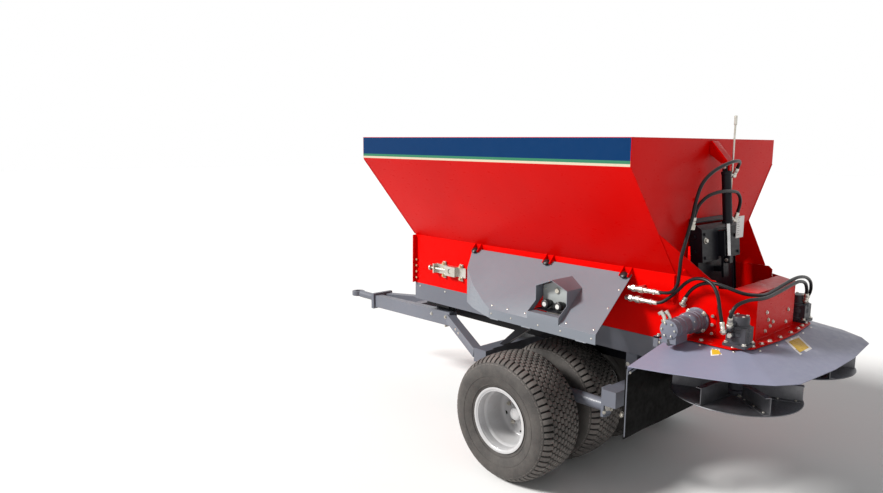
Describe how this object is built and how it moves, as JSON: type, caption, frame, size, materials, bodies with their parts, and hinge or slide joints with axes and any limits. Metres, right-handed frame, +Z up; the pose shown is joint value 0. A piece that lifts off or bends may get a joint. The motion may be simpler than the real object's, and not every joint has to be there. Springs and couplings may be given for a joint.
{
  "type": "trailed spreader",
  "caption": "Trailed broadcast spreader: sloping-sided hopper over a belt, rear metering gate, spinning discs under a fan-shaped deflector, turf tyres on rocking axles.",
  "frame": {"origin": "on the ground, under the middle of the overall length and width", "axes": "+X to the machine's right, +Y forward along the drawbar, +Z up"},
  "size_m": [1.52, 3.6, 1.868],
  "materials": {
    "red_paint": "gloss red enamel",
    "grey_paint": "satin grey powder coat",
    "black_paint": "satin black",
    "zinc_plate": "zinc plated",
    "stainless": "plain stainless",
    "silver_rim": "silver lacquer",
    "tyre_rubber": "dusty tread rubber",
    "black_rubber": "matt black rubber",
    "black_plastic": "moulded"
  },
  "bodies": {
    "frame": {"belt_gearbox": "grey_paint", "belt_motor": "black_paint", "belt_slider_bed": "grey_paint", "chassis_backbone": "black_paint", "conveyor_belt": "black_rubber", "deflector": "grey_paint", "discharge_chute": "red_paint", "front_axle_beam": "grey_paint", "gate_cylinder": "black_paint", "gate_housing": "black_paint", "hitch_eye": "grey_paint", "hopper_front_wall": "red_paint", "hopper_left_side": "red_paint", "hopper_rear_wall": "red_paint", "hopper_right_side": "red_paint", "hose_disc_link": "black_rubber", "hose_gate_lift": "black_rubber", "hose_gate_lower": "black_rubber", "hose_left_disc": "black_rubber", "hose_right_disc": "black_rubber", "jack_cross_member": "grey_paint", "left_belt_tensioner": "zinc_plate", "left_chassis_rail": "grey_paint", "left_conveyor_side": "red_paint", "left_disc_motor": "black_paint", "left_drawbar_rail": "grey_paint", "rear_axle_beam": "grey_paint", "right_belt_tensioner": "zinc_plate", "right_chassis_rail": "grey_paint", "right_conveyor_side": "red_paint", "right_disc_motor": "black_paint", "right_drawbar_rail": "grey_paint", "rubber_flap": "black_rubber", "spinner_deck": "red_paint", "valve_block": "zinc_plate"},
    "left_rocker": {"left_rocker_axle": "grey_paint"},
    "right_rocker": {"right_rocker_axle": "grey_paint"},
    "gate": {"metering_gate": "black_paint", "gate_cylinder_rod": "zinc_plate", "gate_indicator": "zinc_plate"},
    "drive_roller": {"drive_roller": "zinc_plate"},
    "idler_roller": {"idler_roller": "zinc_plate"},
    "left_disc": {"left_spinner_disc": "stainless"},
    "right_disc": {"right_spinner_disc": "stainless"},
    "side_cover": {"side_cover": "grey_paint"},
    "cover_knob_front": {"cover_knob_front": "black_plastic"},
    "cover_knob_middle": {"cover_knob_middle": "black_plastic"},
    "cover_knob_rear": {"cover_knob_rear": "black_plastic"},
    "flow_knob_front": {"flow_knob_front": "black_plastic"},
    "flow_knob_rear": {"flow_knob_rear": "black_plastic"},
    "jack_tube": {"jack_tube": "black_paint"},
    "jack_leg": {"jack_leg": "zinc_plate"},
    "left_outer_wheel": {"left_outer_tyre": "tyre_rubber", "left_outer_rim": "silver_rim"},
    "left_inner_wheel": {"left_inner_tyre": "tyre_rubber", "left_inner_rim": "silver_rim"},
    "right_outer_wheel": {"right_outer_tyre": "tyre_rubber", "right_outer_rim": "silver_rim"},
    "right_inner_wheel": {"right_inner_tyre": "tyre_rubber", "right_inner_rim": "silver_rim"}
  },
  "joints": [
    {"name": "left_rocker_pivot", "type": "hinge", "parent": "frame", "child": "left_rocker", "pos_m": [-0.415, -0.468, 0.45], "axis": [0, 1, 0], "range_deg": [-8, 8]},
    {"name": "left_outer_wheel_spin", "type": "hinge", "parent": "left_rocker", "child": "left_outer_wheel", "pos_m": [-0.6075, -0.468, 0.33], "axis": [1, 0, 0], "continuous": true},
    {"name": "left_inner_wheel_spin", "type": "hinge", "parent": "left_rocker", "child": "left_inner_wheel", "pos_m": [-0.2225, -0.468, 0.33], "axis": [1, 0, 0], "continuous": true},
    {"name": "right_rocker_pivot", "type": "hinge", "parent": "frame", "child": "right_rocker", "pos_m": [0.415, -0.468, 0.45], "axis": [0, 1, 0], "range_deg": [-8, 8]},
    {"name": "right_outer_wheel_spin", "type": "hinge", "parent": "right_rocker", "child": "right_outer_wheel", "pos_m": [0.6075, -0.468, 0.33], "axis": [1, 0, 0], "continuous": true},
    {"name": "right_inner_wheel_spin", "type": "hinge", "parent": "right_rocker", "child": "right_inner_wheel", "pos_m": [0.2225, -0.468, 0.33], "axis": [1, 0, 0], "continuous": true},
    {"name": "gate_lift", "type": "slide", "parent": "frame", "child": "gate", "axis": [0, 0.0958, 0.9954], "range_m": [0, 0.15]},
    {"name": "drive_roller_spin", "type": "hinge", "parent": "frame", "child": "drive_roller", "pos_m": [0, -1.264, 0.935], "axis": [1, 0, 0], "continuous": true},
    {"name": "idler_roller_spin", "type": "hinge", "parent": "frame", "child": "idler_roller", "pos_m": [0, 0.341, 0.935], "axis": [1, 0, 0], "continuous": true},
    {"name": "left_disc_spin", "type": "hinge", "parent": "frame", "child": "left_disc", "pos_m": [-0.33, -1.479, 0.655], "axis": [0, 0, 1], "continuous": true},
    {"name": "right_disc_spin", "type": "hinge", "parent": "frame", "child": "right_disc", "pos_m": [0.33, -1.479, 0.655], "axis": [0, 0, 1], "continuous": true},
    {"name": "side_cover_hinge", "type": "hinge", "parent": "frame", "child": "side_cover", "pos_m": [-0.59, -0.3815, 0.8], "axis": [0, -1, 0], "range_deg": [0, 90]},
    {"name": "cover_knob_front_turn", "type": "hinge", "parent": "side_cover", "child": "cover_knob_front", "pos_m": [-0.31666, 0.126, 1.08564], "axis": [-0.6529, 0, 0.7574], "continuous": true},
    {"name": "cover_knob_middle_turn", "type": "hinge", "parent": "side_cover", "child": "cover_knob_middle", "pos_m": [-0.31666, -0.414, 1.08564], "axis": [-0.6529, 0, 0.7574], "continuous": true},
    {"name": "cover_knob_rear_turn", "type": "hinge", "parent": "side_cover", "child": "cover_knob_rear", "pos_m": [-0.31666, -0.894, 1.08564], "axis": [-0.6529, 0, 0.7574], "continuous": true},
    {"name": "flow_knob_front_turn", "type": "hinge", "parent": "frame", "child": "flow_knob_front", "pos_m": [-0.5, -0.57, 0.922], "axis": [-1, 0, 0], "range_deg": [0, 270]},
    {"name": "flow_knob_rear_turn", "type": "hinge", "parent": "frame", "child": "flow_knob_rear", "pos_m": [-0.5, -0.652, 0.922], "axis": [-1, 0, 0], "range_deg": [0, 270]},
    {"name": "jack_swing", "type": "hinge", "parent": "frame", "child": "jack_tube", "pos_m": [0, 0.966, 0.515], "axis": [1, 0, 0], "range_deg": [0, 90]},
    {"name": "jack_extend", "type": "slide", "parent": "jack_tube", "child": "jack_leg", "axis": [0, -1, 0], "range_m": [0, 0.2]}
  ],
  "couplings": [
    {"joint": "idler_roller_spin", "follows": "drive_roller_spin", "ratio": 1},
    {"joint": "right_disc_spin", "follows": "left_disc_spin", "ratio": -1}
  ]
}
